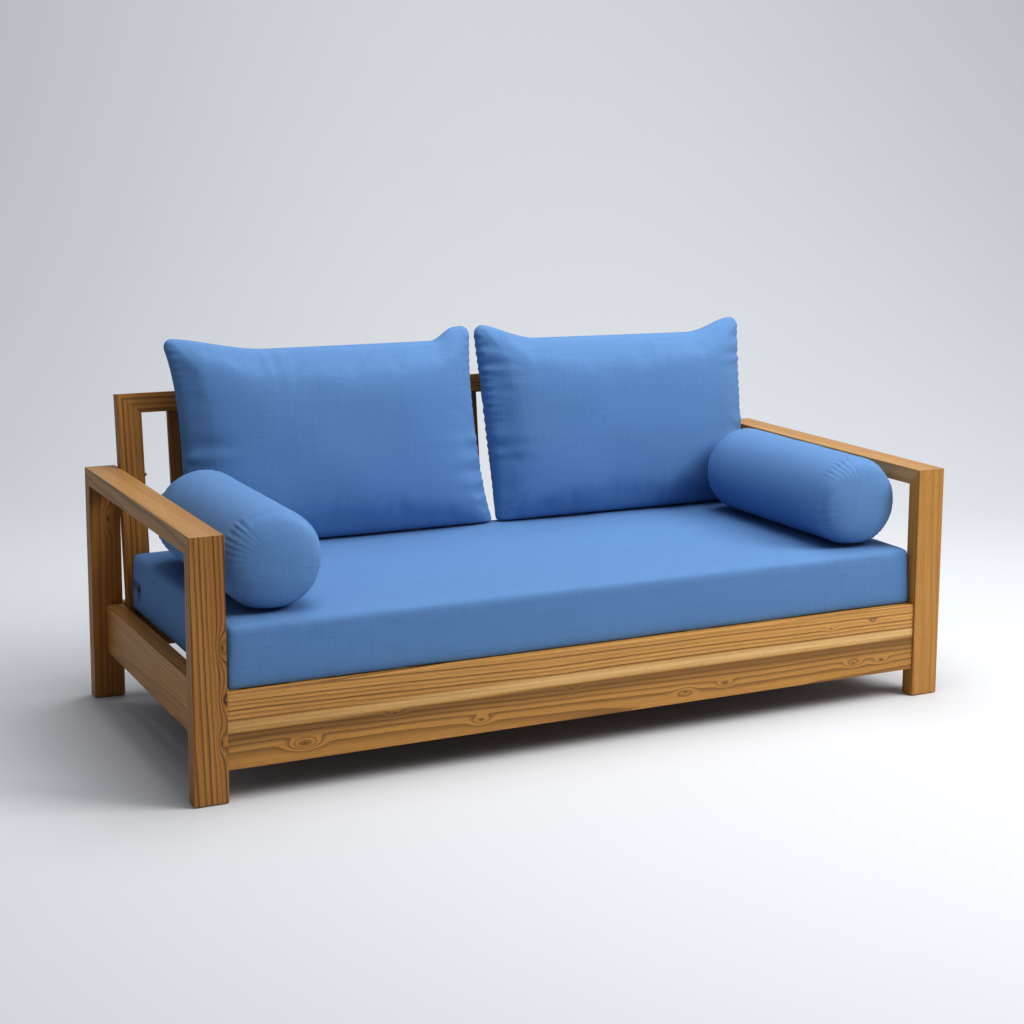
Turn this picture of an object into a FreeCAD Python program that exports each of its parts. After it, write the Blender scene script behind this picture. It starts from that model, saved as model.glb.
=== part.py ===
# Daybed: a slatted hardwood frame with a loose mattress, two back cushions and two bolsters.
# Millimetres. X runs along the length and -Y is the front. Left and right are as seen from the front.
# +Z is up. The origin is on the floor, under the middle of the frame.
import math
import os
import FreeCAD, Part

# Overall size
overall_length = 2000.0
overall_depth = 935.0
arm_height = 600.0
seat_height = 245.0
back_height = 787.0

# Arm frames: two legs and an arm rail mitred together, and a side rail low between the legs
leg_width = 78.0
leg_depth = 42.0
side_rail_thickness = 42.0
side_rail_height = 125.0

# Long rails between the arm frames
front_rail_height = 172.0
rail_thickness = 30.0
rail_setback = 5.0

# Deck under the mattress
deck_slat_count = 9
deck_slat_width = 100.0
deck_slat_thickness = 18.0
cleat_size = 28.0
beam_height = 60.0
beam_thickness = 30.0
cross_beam_thickness = 45.0
back_to_bearer = 6.0
back_to_deck = 4.0

# Leaning back frame
back_lean = 7.0
back_thickness = 34.0
post_width = 62.0
post_foot_height = 130.0
top_rail_height = 50.0
bottom_rail_height = 60.0
bottom_rail_above_seat = 10.0
back_slat_count = 14
back_slat_width = 48.0
back_slat_thickness = 14.0
mortise_depth = 12.0
back_rear_clearance = 1.0

# Dowels, screws and brackets
long_dowel_radius = 5.0
long_dowel_length = 50.0
mitre_dowel_radius = 4.0
mitre_dowel_length = 32.0
mitre_dowel_spacing = 40.0
deck_screw_radius = 2.25
deck_screw_length = 38.0
bracket_screw_radius = 2.25
bracket_screw_length = 20.0
coach_screw_radius = 4.0
coach_screw_length = 90.0
coach_washer_radius = 9.0
coach_washer_thickness = 1.6
coach_head_radius = 6.5
coach_head_height = 5.0
bracket_leg = 60.0
bracket_height = 36.0
bracket_thickness = 3.0
glide_radius = 15.0
glide_thickness = 5.0
glide_stand = 2.0

# Mattress, cushions and bolsters
mattress_thickness = 150.0
mattress_end_gap = 8.0
mattress_setback = 22.5
mattress_rounding = 14.0
cushion_width = 850.0
cushion_height = 530.0
cushion_thickness = 150.0
cushion_rounding = 45.0
cushion_gap = 5.0
cushion_offset = 52.5
bolster_radius = 112.0
bolster_length = 632.0
bolster_rounding = 50.0
bolster_to_arm = 14.0
bolster_to_cushion = 6.0
cover_thickness = 2.0

# Zip in the mattress border
zip_height_in_border = 0.45
zip_tape_width = 24.0
zip_tape_thickness = 0.8
zip_return = 85.0
zip_end_margin = 110.0
slider_length = 10.0
slider_width = 9.0
slider_thickness = 2.8
pull_length = 30.0
pull_width = 6.5
pull_thickness = 0.9
pivot_radius = 1.2
pivot_head_radius = 2.3
pivot_head_thickness = 0.5

# Clearances
edge_ease = 1.6
glue_gap = 0.05
dowel_gap = 0.1
dowel_end_gap = 1.0
screw_gap = 0.1
mortise_gap = 0.2
rest_gap = 0.5
back_cushion_gap = 1.5
tape_gap = 0.1
slider_gap = 0.3
pull_gap = 0.3
pivot_gap = 0.1

vector = FreeCAD.Vector
parts = {}
long_dowels = []
mitre_dowels = []
deck_screws = []
bracket_screws = []
coach_screws = []


def box(low, high):
    return Part.makeBox(high[0] - low[0], high[1] - low[1], high[2] - low[2], vector(*low))


def rounded_box(low, high, radius):
    shape = box(low, high)
    return shape.makeFillet(radius, shape.Edges)


def board(low, high):
    return rounded_box(low, high, edge_ease)


def cylinder(start, direction, radius, length):
    return Part.makeCylinder(radius, length, start, direction)


def side_span(side, near, far):
    """X range at one end of the daybed, from two distances off the middle."""
    return sorted((side * near, side * far))


def drill(names, cutter):
    for name in names:
        parts[name] = parts[name].cut(cutter)


def add_dowel(dowels, radius, joint, direction, behind, ahead, names):
    """One dowel across a joint, and the hole for it in each member."""
    start = joint - direction * behind
    length = behind + ahead
    dowels.append(cylinder(start, direction, radius, length))
    hole_start = start - direction * dowel_end_gap
    hole = cylinder(hole_start, direction, radius + dowel_gap, length + 2 * dowel_end_gap)
    drill(names, hole)


def add_long_dowel(joint, direction, behind, names):
    ahead = long_dowel_length - behind
    add_dowel(long_dowels, long_dowel_radius, joint, direction, behind, ahead, names)


def add_screw(screws, head, direction, radius, length, names):
    """One countersunk screw, its head flush with the face it enters."""
    head_radius = 2 * radius
    cone = Part.makeCone(head_radius, radius, radius, head, direction)
    shank = cylinder(head, direction, radius, length)
    screws.append(cone.fuse(shank).removeSplitter())
    wide = radius + screw_gap
    sink = Part.makeCone(head_radius + screw_gap, wide, radius + screw_gap, head, direction)
    hole = cylinder(head, direction, wide, length + dowel_end_gap)
    drill(names, sink.fuse(hole))


half_length = overall_length / 2
half_depth = overall_depth / 2
inner_half = half_length - leg_width
leg_inner_y = half_depth - leg_depth
foot_z = glide_stand
arm_underside = arm_height - leg_depth

# Arm frames

ends = (("left", -1), ("right", 1))
faces = (("front", -1), ("rear", 1))
side_rail_low = seat_height - side_rail_height
side_dowel_heights = (side_rail_low + 0.2 * side_rail_height, side_rail_low + 0.56 * side_rail_height)
side_rail_middle = inner_half + side_rail_thickness / 2
mitre_reach = 2 * leg_depth

for end, side in ends:
    x0, x1 = side_span(side, inner_half, half_length)
    arm = board((x0, -half_depth - mitre_reach, arm_underside), (x1, half_depth + mitre_reach, arm_height))
    for face, way in faces:
        outer_y = way * half_depth
        y0, y1 = sorted((outer_y, way * leg_inner_y))
        leg = board((x0, y0, foot_z), (x1, y1, arm_height + mitre_reach))
        corner = vector(x0 - 1, outer_y, arm_height)
        inward = vector(0, -way, -1)
        outward = vector(0, way, 1)
        across = vector(0, -way, 1)
        wedge_points = [
            corner - inward * mitre_reach,
            corner + inward * mitre_reach,
            corner + inward * mitre_reach + across * 4 * mitre_reach,
            corner - inward * mitre_reach + across * 4 * mitre_reach,
        ]
        wedge_points.append(wedge_points[0])
        above_mitre = Part.Face(Part.makePolygon(wedge_points)).extrude(vector(leg_width + 2, 0, 0))
        parts[face + "_leg_" + end] = leg.cut(above_mitre)
        below_points = [
            corner - inward * 3 * mitre_reach,
            corner + inward * 2 * mitre_reach,
            corner + inward * 2 * mitre_reach - across * 4 * mitre_reach,
            corner - inward * 3 * mitre_reach - across * 4 * mitre_reach,
        ]
        below_points.append(below_points[0])
        below_mitre = Part.Face(Part.makePolygon(below_points)).extrude(vector(leg_width + 2, 0, 0))
        below_mitre.translate(across * glue_gap)
        arm = arm.cut(below_mitre)
    parts["arm_rail_" + end] = arm
    rail_x0, rail_x1 = side_span(side, inner_half, inner_half + side_rail_thickness)
    rail_end = leg_inner_y - glue_gap
    parts["side_rail_" + end] = board((rail_x0, -rail_end, side_rail_low), (rail_x1, rail_end, seat_height))

    for face, way in faces:
        middle = vector(side * (half_length - leg_width / 2), way * (half_depth - leg_depth / 2), 0)
        middle.z = arm_height - leg_depth / 2
        square_to_mitre = vector(0, -way, 1) / math.sqrt(2)
        members = (face + "_leg_" + end, "arm_rail_" + end)
        reach = mitre_dowel_length / 2
        for shift in (-mitre_dowel_spacing / 2, mitre_dowel_spacing / 2):
            joint = middle + vector(shift, 0, 0)
            add_dowel(mitre_dowels, mitre_dowel_radius, joint, square_to_mitre, reach, reach, members)
        for height in side_dowel_heights:
            joint = vector(side * side_rail_middle, way * leg_inner_y, height)
            members = (face + "_leg_" + end, "side_rail_" + end)
            add_long_dowel(joint, vector(0, way, 0), long_dowel_length / 2, members)

# Long rails, dowelled into the legs

rail_half = inner_half - glue_gap
front_rail_low = seat_height - front_rail_height
front_rail_inner = -half_depth + rail_setback + rail_thickness
rear_rail_inner = half_depth - rail_setback - rail_thickness
parts["front_rail"] = board(
    (-rail_half, front_rail_inner - rail_thickness, front_rail_low), (rail_half, front_rail_inner, seat_height)
)
parts["rear_rail"] = board(
    (-rail_half, rear_rail_inner, side_rail_low), (rail_half, rear_rail_inner + rail_thickness, seat_height)
)
low_dowel = side_rail_low - 2.4 * long_dowel_radius
high_dowel = seat_height - 6 * long_dowel_radius
rear_low_dowel = side_rail_low + 0.4 * side_rail_height
rail_middles = {"front": front_rail_inner - rail_thickness / 2, "rear": rear_rail_inner + rail_thickness / 2}
dowel_heights = {"front": (low_dowel, high_dowel), "rear": (rear_low_dowel, high_dowel)}
for end, side in ends:
    for face, way in faces:
        for height in dowel_heights[face]:
            joint = vector(side * inner_half, rail_middles[face], height)
            members = (face + "_rail", face + "_leg_" + end)
            add_long_dowel(joint, vector(side, 0, 0), long_dowel_length / 2, members)

# Back frame, drawn upright with its front face on Y = 0, then leant back

lean = math.radians(back_lean)
post_length = (back_height - post_foot_height) / math.cos(lean)
back_foot_y = (
    half_depth - back_rear_clearance - back_thickness * math.cos(lean) - post_length * math.sin(lean)
)
back_half = inner_half - glue_gap
post_inner = back_half - post_width
bottom_rail_low = (seat_height + bottom_rail_above_seat - post_foot_height) / math.cos(lean)
bottom_rail_high = bottom_rail_low + bottom_rail_height
top_rail_low = post_length - top_rail_height


def back_front_y(height):
    """Where the front face of the back is at a height above the floor."""
    return back_foot_y + (height - post_foot_height) * math.tan(lean)


def half_plane(near, far, square, size):
    """A slab of the back frame's thickness on one side of a line in its plane."""
    along = (far - near) / (far - near).Length
    points = [
        near - along * size,
        far + along * size,
        far + along * size + square * size,
        near - along * size + square * size,
        near - along * size,
    ]
    return Part.Face(Part.makePolygon(points)).extrude(vector(0, back_thickness + 2, 0))


top_rail = board((-back_half - post_width, 0, top_rail_low), (back_half + post_width, back_thickness, post_length))
for end, side in ends:
    x0, x1 = side_span(side, post_inner, back_half)
    post = board((x0, 0, 0), (x1, back_thickness, post_length + top_rail_height))
    outer = vector(side * back_half, -1, post_length)
    inner = vector(side * post_inner, -1, top_rail_low)
    line = (outer - inner) / (outer - inner).Length
    square = vector(-line.z * side, 0, line.x * side)
    parts["back_post_" + end] = post.cut(half_plane(inner, outer, square, 2 * post_width))
    below = half_plane(inner, outer, square * -1, 3 * post_width)
    below.translate(square * glue_gap)
    top_rail = top_rail.cut(below)
    parts["back_top_rail"] = top_rail
    joint = (outer + inner) * 0.5
    joint.y = back_thickness / 2
    members = ("back_post_" + end, "back_top_rail")
    reach = mitre_dowel_length / 2
    add_dowel(mitre_dowels, mitre_dowel_radius, joint, square, reach, reach, members)
    top_rail = parts["back_top_rail"]
rail_end = post_inner - glue_gap
parts["back_bottom_rail"] = board((-rail_end, 0, bottom_rail_low), (rail_end, back_thickness, bottom_rail_high))
for end, side in ends:
    for share in (0.25, 0.75):
        height = bottom_rail_low + share * bottom_rail_height
        joint = vector(side * post_inner, back_thickness / 2, height)
        members = ("back_post_" + end, "back_bottom_rail")
        add_long_dowel(joint, vector(side, 0, 0), long_dowel_length / 2, members)

slat_y0 = (back_thickness - back_slat_thickness) / 2
slat_y1 = slat_y0 + back_slat_thickness
slat_gap = (2 * post_inner - back_slat_count * back_slat_width) / (back_slat_count + 1)
for index in range(back_slat_count):
    x0 = -post_inner + slat_gap + index * (back_slat_width + slat_gap)
    x1 = x0 + back_slat_width
    low = bottom_rail_high - mortise_depth + mortise_gap
    high = top_rail_low + mortise_depth - mortise_gap
    parts["back_slat_%02d" % (index + 1)] = board((x0, slat_y0, low), (x1, slat_y1, high))
    mortise = box(
        (x0 - mortise_gap, slat_y0 - mortise_gap, bottom_rail_high - mortise_depth),
        (x1 + mortise_gap, slat_y1 + mortise_gap, top_rail_low + mortise_depth),
    )
    drill(("back_bottom_rail", "back_top_rail"), mortise)

back_place = FreeCAD.Placement(
    vector(0, back_foot_y, post_foot_height), FreeCAD.Rotation(vector(1, 0, 0), -back_lean)
)


def lean_back(shape):
    return shape.transformGeometry(back_place.toMatrix())


for name in list(parts):
    if name.startswith("back_"):
        parts[name] = lean_back(parts[name])
arm_mitre_count = 2 * len(ends) * len(faces)
side_dowel_count = 2 * len(ends) * len(faces) * 2
mitre_dowels = mitre_dowels[:arm_mitre_count] + [lean_back(d) for d in mitre_dowels[arm_mitre_count:]]
long_dowels = long_dowels[:side_dowel_count] + [lean_back(d) for d in long_dowels[side_dowel_count:]]

# Coach screws through each post into the side rail below and the arm rail above

low_screw_z = side_rail_low + 0.56 * side_rail_height
high_screw_z = arm_height - leg_depth / 2
for end, side in ends:
    for height, rail in ((low_screw_z, "side_rail_"), (high_screw_z, "arm_rail_")):
        middle_y = back_front_y(height) + back_thickness / (2 * math.cos(lean))
        seat = vector(side * post_inner, middle_y, height)
        way = vector(side, 0, 0)
        head = cylinder(seat - way * (coach_head_height + coach_washer_thickness), way, coach_head_radius,
                        coach_head_height)
        washer = cylinder(seat - way * coach_washer_thickness, way, coach_washer_radius, coach_washer_thickness)
        shank = cylinder(seat, way, coach_screw_radius, coach_screw_length)
        coach_screws.append(head.fuse([washer, shank]).removeSplitter())
        hole = cylinder(seat - way, way, coach_screw_radius + screw_gap, coach_screw_length + 1 + dowel_end_gap)
        drill(("back_post_" + end, rail + end), hole)

# Deck: a cleat behind the front rail, a bearer before the back, a cross beam under it, and slats

slat_top = seat_height
slat_underside = seat_height - deck_slat_thickness
cleat_low = slat_underside - cleat_size
parts["front_cleat"] = board(
    (-rail_half, front_rail_inner + glue_gap, cleat_low),
    (rail_half, front_rail_inner + glue_gap + cleat_size, slat_underside - glue_gap),
)
bearer_low = slat_underside - beam_height
bearer_rear = back_front_y(bearer_low) - back_to_bearer
bearer_middle = bearer_rear - beam_thickness / 2
parts["rear_bearer"] = board(
    (-rail_half, bearer_rear - beam_thickness, bearer_low), (rail_half, bearer_rear, slat_underside - glue_gap)
)
cross_low = bearer_low - beam_height
parts["cross_beam"] = board(
    (-cross_beam_thickness / 2, front_rail_inner + glue_gap, cross_low),
    (cross_beam_thickness / 2, rear_rail_inner - glue_gap, bearer_low - glue_gap),
)
for end, side in ends:
    for share in (0.3, 0.7):
        joint = vector(side * inner_half, bearer_middle, bearer_low + share * beam_height)
        add_long_dowel(joint, vector(side, 0, 0), long_dowel_length / 2, ("rear_bearer", "side_rail_" + end))
for face, way, joint_y in (("front", -1, front_rail_inner), ("rear", 1, rear_rail_inner)):
    for share in (0.45, 0.8):
        joint = vector(0, joint_y, cross_low + share * beam_height)
        into_beam = long_dowel_length - rail_thickness + 2 * long_dowel_radius
        add_long_dowel(joint, vector(0, way, 0), into_beam, (face + "_rail", "cross_beam"))

deck_front = front_rail_inner + 1
deck_rear = back_front_y(slat_underside) - back_to_deck
deck_pitch = (2 * inner_half) / deck_slat_count
for index in range(deck_slat_count):
    name = "deck_slat_%d" % (index + 1)
    middle_x = -inner_half + (index + 0.5) * deck_pitch
    x0 = middle_x - deck_slat_width / 2
    parts[name] = board((x0, deck_front, slat_underside), (x0 + deck_slat_width, deck_rear, slat_top))
    for shift in (-0.28 * deck_slat_width, 0.28 * deck_slat_width):
        for y, member in ((front_rail_inner + cleat_size / 2, "front_cleat"), (bearer_middle, "rear_bearer")):
            head = vector(middle_x + shift, y, slat_top)
            add_screw(deck_screws, head, vector(0, 0, -1), deck_screw_radius, deck_screw_length, (name, member))
cleat_screw_count = deck_slat_count + 1
for index in range(cleat_screw_count):
    x = -inner_half + deck_pitch * (0.25 + index * (deck_slat_count - 0.5) / (cleat_screw_count - 1))
    head = vector(x, front_rail_inner + glue_gap + cleat_size, cleat_low + 0.3 * cleat_size)
    members = ("front_cleat", "front_rail")
    add_screw(deck_screws, head, vector(0, -1, 0), deck_screw_radius, deck_screw_length, members)

# Steel angle brackets in the two front corners

bracket_low = side_rail_low + 0.24 * side_rail_height
bracket_middle = bracket_low + bracket_height / 2
brackets = []
for end, side in ends:
    corner_x = side * (inner_half - glue_gap)
    corner_y = front_rail_inner + glue_gap
    x0, x1 = sorted((corner_x, corner_x - side * bracket_leg))
    on_rail = box((x0, corner_y, bracket_low), (x1, corner_y + bracket_thickness, bracket_low + bracket_height))
    x0, x1 = sorted((corner_x, corner_x - side * bracket_thickness))
    on_side = box((x0, corner_y, bracket_low), (x1, corner_y + bracket_leg, bracket_low + bracket_height))
    name = "bracket_" + end
    parts[name] = on_rail.fuse(on_side).removeSplitter()
    for share in (0.45, 0.8):
        offset = share * bracket_leg
        head = vector(corner_x - side * offset, corner_y + bracket_thickness, bracket_middle)
        members = (name, "front_rail")
        add_screw(bracket_screws, head, vector(0, -1, 0), bracket_screw_radius, bracket_screw_length, members)
        head = vector(corner_x - side * bracket_thickness, corner_y + offset, bracket_middle)
        members = (name, "side_rail_" + end)
        add_screw(bracket_screws, head, vector(side, 0, 0), bracket_screw_radius, bracket_screw_length, members)
    brackets.append(parts.pop(name))

# Glides let into the feet

glides = []
for end, side in ends:
    for face, way in faces:
        x = side * (half_length - leg_width / 2)
        y = way * (half_depth - leg_depth / 2)
        glides.append(cylinder(vector(x, y, 0), vector(0, 0, 1), glide_radius, glide_thickness))
        pocket_top = glide_thickness + glue_gap
        pocket = cylinder(vector(x, y, 0), vector(0, 0, 1), glide_radius + glue_gap, pocket_top)
        drill((face + "_leg_" + end,), pocket)

parts["corner_brackets"] = Part.makeCompound(brackets)
parts["foot_glides"] = Part.makeCompound(glides)
parts["mitre_dowels"] = Part.makeCompound(mitre_dowels)
parts["rail_dowels"] = Part.makeCompound(long_dowels)
parts["deck_screws"] = Part.makeCompound(deck_screws)
parts["bracket_screws"] = Part.makeCompound(bracket_screws)
parts["coach_screws"] = Part.makeCompound(coach_screws)


def add_soft(name, filling, outer, inner, core):
    """A sewn cover, hollow, and the filling inside it."""
    parts[name + "_cover"] = outer.cut(inner)
    parts[name + "_" + filling] = core


# Mattress: a boxed cover over a foam block

mattress_half = inner_half - mattress_end_gap
mattress_front = -half_depth + mattress_setback
mattress_rear = back_front_y(seat_height) - back_to_deck
mattress_low = seat_height + rest_gap
mattress_top = mattress_low + mattress_thickness
wall = cover_thickness
slack = cover_thickness + rest_gap


def mattress_block(inset):
    return rounded_box(
        (-mattress_half + inset, mattress_front + inset, mattress_low + inset),
        (mattress_half - inset, mattress_rear - inset, mattress_top - inset),
        mattress_rounding - inset,
    )


add_soft("mattress", "foam", mattress_block(0), mattress_block(wall), mattress_block(slack))

# Back cushions: flat on the mattress, leaning on the slats

cushion_low = mattress_top + rest_gap
cushion_top = cushion_low + cushion_height * math.cos(lean)
cushion_depth = cushion_thickness / math.cos(lean)


def cushion_block(x0, x1, inset):
    low = cushion_low + inset
    high = cushion_top - inset
    shift = back_cushion_gap + inset
    points = [
        vector(x0 + inset, back_front_y(low) - shift, low),
        vector(x0 + inset, back_front_y(high) - shift, high),
        vector(x0 + inset, back_front_y(high) - back_cushion_gap - cushion_depth + inset, high),
        vector(x0 + inset, back_front_y(low) - back_cushion_gap - cushion_depth + inset, low),
    ]
    points.append(points[0])
    block = Part.Face(Part.makePolygon(points)).extrude(vector(x1 - x0 - 2 * inset, 0, 0))
    return block.makeFillet(cushion_rounding - inset, block.Edges)


for end, side in ends:
    x0, x1 = sorted((cushion_offset + side * cushion_gap / 2, cushion_offset + side * (cushion_gap / 2 + cushion_width)))
    blocks = [cushion_block(x0, x1, inset) for inset in (0, wall, slack)]
    add_soft("back_cushion_" + end, "filling", *blocks)

# Bolsters: one along each arm, ending just before the back cushions

bolster_z = mattress_top + rest_gap + bolster_radius
cushion_front = back_front_y(cushion_low) - back_cushion_gap - cushion_depth
bolster_rear = cushion_front - bolster_to_cushion
bolster_x = inner_half - bolster_to_arm - bolster_radius


def bolster_block(side, inset):
    start = vector(side * bolster_x, bolster_rear - bolster_length + inset, bolster_z)
    roll = cylinder(start, vector(0, 1, 0), bolster_radius - inset, bolster_length - 2 * inset)
    rims = [edge for edge in roll.Edges if edge.isClosed() and len(edge.Vertexes) == 1]
    return roll.makeFillet(bolster_rounding - inset, rims)


for end, side in ends:
    blocks = [bolster_block(side, inset) for inset in (0, wall, slack)]
    add_soft("bolster_" + end, "filling", *blocks)

# Zip: a tape round the rear left corner of the border, its slider and its hanging pull

zip_z = mattress_low + zip_height_in_border * mattress_thickness
zip_front = mattress_rear - zip_return
tape_low = zip_z - zip_tape_width / 2
tape_high = zip_z + zip_tape_width / 2


def border_ring(offset):
    low = (-mattress_half - offset, mattress_front - offset, tape_low)
    high = (mattress_half + offset, mattress_rear + offset, tape_high)
    ring = box(low, high)
    upright = [edge for edge in ring.Edges if abs(edge.BoundBox.ZLength - zip_tape_width) < 0.01]
    return ring.makeFillet(mattress_rounding + offset, upright)


ring = border_ring(tape_gap + zip_tape_thickness).cut(border_ring(tape_gap))
reach = 2 * mattress_rounding
end_stretch = box(
    (-half_length, zip_front, tape_low), (-mattress_half + reach, mattress_rear + reach, tape_high)
)
rear_stretch = box(
    (-mattress_half, mattress_rear - reach, tape_low),
    (mattress_half - zip_end_margin, mattress_rear + reach, tape_high),
)
parts["mattress_zip_tape"] = ring.common(end_stretch.fuse(rear_stretch))

slider_inner = -mattress_half - tape_gap - zip_tape_thickness - slider_gap
slider_outer = slider_inner - slider_thickness
slider_middle_y = zip_front + slider_length / 2
slider = box(
    (slider_outer, zip_front, zip_z - slider_width / 2),
    (slider_inner, zip_front + slider_length, zip_z + slider_width / 2),
)
slider = slider.makeFillet(slider_thickness / 4, slider.Edges)
pivot_length = 2 * pull_gap + pull_thickness
outwards = vector(-1, 0, 0)
pivot_start = vector(slider_outer, slider_middle_y, zip_z)
pivot = cylinder(pivot_start + vector(0.5, 0, 0), outwards, pivot_radius, pivot_length + 0.5)
pivot_head = cylinder(pivot_start + outwards * pivot_length, outwards, pivot_head_radius, pivot_head_thickness)
parts["zip_slider"] = slider.fuse([pivot, pivot_head]).removeSplitter()
pull_outer = slider_outer - pull_gap - pull_thickness
pull = box(
    (pull_outer, slider_middle_y - pull_width / 2, zip_z - pull_length),
    (pull_outer + pull_thickness, slider_middle_y + pull_width / 2, zip_z + pull_width / 2),
)
across = [edge for edge in pull.Edges if abs(edge.BoundBox.XLength - pull_thickness) < 0.01]
pull = pull.makeFillet(pull_width / 2 - 0.25, across)
eye = cylinder(vector(pull_outer - 1, slider_middle_y, zip_z), vector(1, 0, 0), pivot_radius + pivot_gap, 3)
parts["zip_pull"] = pull.cut(eye)

os.makedirs("parts", exist_ok=True)
for name, shape in parts.items():
    shape.exportStep("parts/" + name + ".step")
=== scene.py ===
import math
import bpy
import numpy as np
from mathutils import Matrix, Vector, noise


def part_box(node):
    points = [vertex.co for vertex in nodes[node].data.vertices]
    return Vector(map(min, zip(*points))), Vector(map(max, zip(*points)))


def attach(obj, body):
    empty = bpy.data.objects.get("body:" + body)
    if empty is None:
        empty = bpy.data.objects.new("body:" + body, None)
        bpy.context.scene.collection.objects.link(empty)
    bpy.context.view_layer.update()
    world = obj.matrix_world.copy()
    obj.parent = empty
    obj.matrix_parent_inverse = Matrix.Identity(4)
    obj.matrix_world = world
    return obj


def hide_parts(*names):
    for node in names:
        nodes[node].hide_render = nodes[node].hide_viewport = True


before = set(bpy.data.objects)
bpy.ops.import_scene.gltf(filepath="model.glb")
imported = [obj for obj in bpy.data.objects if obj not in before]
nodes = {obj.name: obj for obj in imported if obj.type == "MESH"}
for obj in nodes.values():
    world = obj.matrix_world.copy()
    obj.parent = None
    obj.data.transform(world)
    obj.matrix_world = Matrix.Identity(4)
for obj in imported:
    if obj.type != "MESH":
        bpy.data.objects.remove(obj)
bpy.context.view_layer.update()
print("frame loaded:", len(nodes), "nodes")


def pickNone():
    if bpy.context.mode != "OBJECT":
        bpy.ops.object.mode_set(mode="OBJECT")
    bpy.ops.object.select_all(action="DESELECT")


def makeActive(obj):
    pickNone()
    obj.select_set(True)
    bpy.context.view_layer.objects.active = obj


def applyModifier(obj, kind, **settings):
    makeActive(obj)
    bpy.ops.object.modifier_add(type=kind)
    modifier = obj.modifiers[-1]
    for key, value in settings.items():
        setattr(modifier, key, value)
    bpy.ops.object.modifier_apply(modifier=modifier.name)


def readPoints(obj):
    points = np.empty(len(obj.data.vertices) * 3)
    obj.data.vertices.foreach_get("co", points)
    return points.reshape(-1, 3)


def writePoints(obj, points):
    obj.data.vertices.foreach_set("co", np.ascontiguousarray(points, dtype=float).ravel())
    obj.data.update()


def readNormals(obj):
    normals = np.empty(len(obj.data.vertices) * 3)
    obj.data.vertex_normals.foreach_get("vector", normals)
    return normals.reshape(-1, 3)


def keepPoints(obj, name, points):      # remembers where each point was before the filling went in
    attribute = obj.data.attributes.get(name) or obj.data.attributes.new(name, "FLOAT_VECTOR", "POINT")
    attribute.data.foreach_set("vector", np.ascontiguousarray(points, dtype=float).ravel())


def keptPoints(obj, name):
    points = np.empty(len(obj.data.vertices) * 3)
    obj.data.attributes[name].data.foreach_get("vector", points)
    return points.reshape(-1, 3)


def softNoise(points, scale, seed):     # smooth noise, about -1 to 1, one value for each point
    shift = Vector((seed * 7.3, seed * 3.1, seed * 5.7))
    return np.array([noise.noise(Vector(p) * scale + shift) for p in points])


def smoothStep(values, low, high):
    t = np.clip((values - low) / (high - low), 0, 1)
    return t * t * (3 - 2 * t)


def refit(points, was):                 # brings a stuffed piece back to the size it was cut for
    low, high = points.min(axis=0), points.max(axis=0)
    wasLow, wasHigh = was.min(axis=0), was.max(axis=0)
    return wasLow + (points - low) * (wasHigh - wasLow) / (high - low)


class Wire:                             # a socket of a shader, so that sums on it are written as in Python
    def __init__(self, tree, socket=None):
        self.tree = tree
        self.socket = socket

    def node(self, kind, settings=None, sockets=None, output=0):
        made = self.tree.nodes.new(kind)
        for key, value in (settings or {}).items():
            setattr(made, key, value)
        for key, value in (sockets or {}).items():
            if isinstance(value, Wire):
                self.tree.links.new(value.socket, made.inputs[key])
            else:
                made.inputs[key].default_value = value
        return Wire(self.tree, made.outputs[output])

    def math(self, operation, *others):
        sockets = dict(enumerate((self, *others)))
        return self.node("ShaderNodeMath", {"operation": operation}, sockets)

    def __add__(self, other):
        return self.math("ADD", other)

    __radd__ = __add__

    def __sub__(self, other):
        return self.math("SUBTRACT", other)

    def __rsub__(self, other):
        return (self * -1) + other

    def __mul__(self, other):
        return self.math("MULTIPLY", other)

    __rmul__ = __mul__

    def __truediv__(self, other):
        return self.math("DIVIDE", other)

    def __pow__(self, other):
        return self.math("POWER", other)

    def ease(self, low, high):          # 0 at low, 1 at high, smooth between
        settings = {"interpolation_type": "SMOOTHSTEP", "clamp": True}
        sockets = {"Value": self, "From Min": low, "From Max": high, "To Min": 0.0, "To Max": 1.0}
        return self.node("ShaderNodeMapRange", settings, sockets)

    def parts(self):
        split = self.node("ShaderNodeSeparateXYZ", sockets={0: self})
        outputs = split.socket.node.outputs
        return [Wire(self.tree, outputs[index]) for index in range(3)]

    def joined(self, second, third):
        return self.node("ShaderNodeCombineXYZ", sockets={0: self, 1: second, 2: third})

    def noise(self, scale=1.0, detail=2.0, roughness=0.5):
        settings = {"noise_dimensions": "3D"}
        sockets = {"Vector": self, "Scale": scale, "Detail": detail, "Roughness": roughness}
        return self.node("ShaderNodeTexNoise", settings, sockets)

    def random(self):                   # one value for each whole number
        return self.node("ShaderNodeTexWhiteNoise", {"noise_dimensions": "1D"}, {"W": self})

    def tint(self, first, second, mode="MIX"):   # self is the mask
        settings = {"data_type": "RGBA", "blend_type": mode, "clamp_factor": True}
        return self.node("ShaderNodeMix", settings, {0: self, 6: asColour(first), 7: asColour(second)}, 2)


def asColour(value):
    return value if isinstance(value, Wire) else (*value, 1.0)


def darker(colour, share):
    return tuple(c * share for c in colour)


def newMaterial(name):
    material = bpy.data.materials.new(name)
    material.use_nodes = True
    tree = material.node_tree
    surface = tree.nodes["Principled BSDF"]
    place = Wire(tree).node("ShaderNodeTexCoord", output=3)
    return material, surface, place


def setSurface(surface, links, fixed):
    tree = surface.id_data
    for key, wire in links.items():
        tree.links.new(wire.socket, surface.inputs[key])
    for key, value in fixed.items():
        surface.inputs[key].default_value = value


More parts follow.
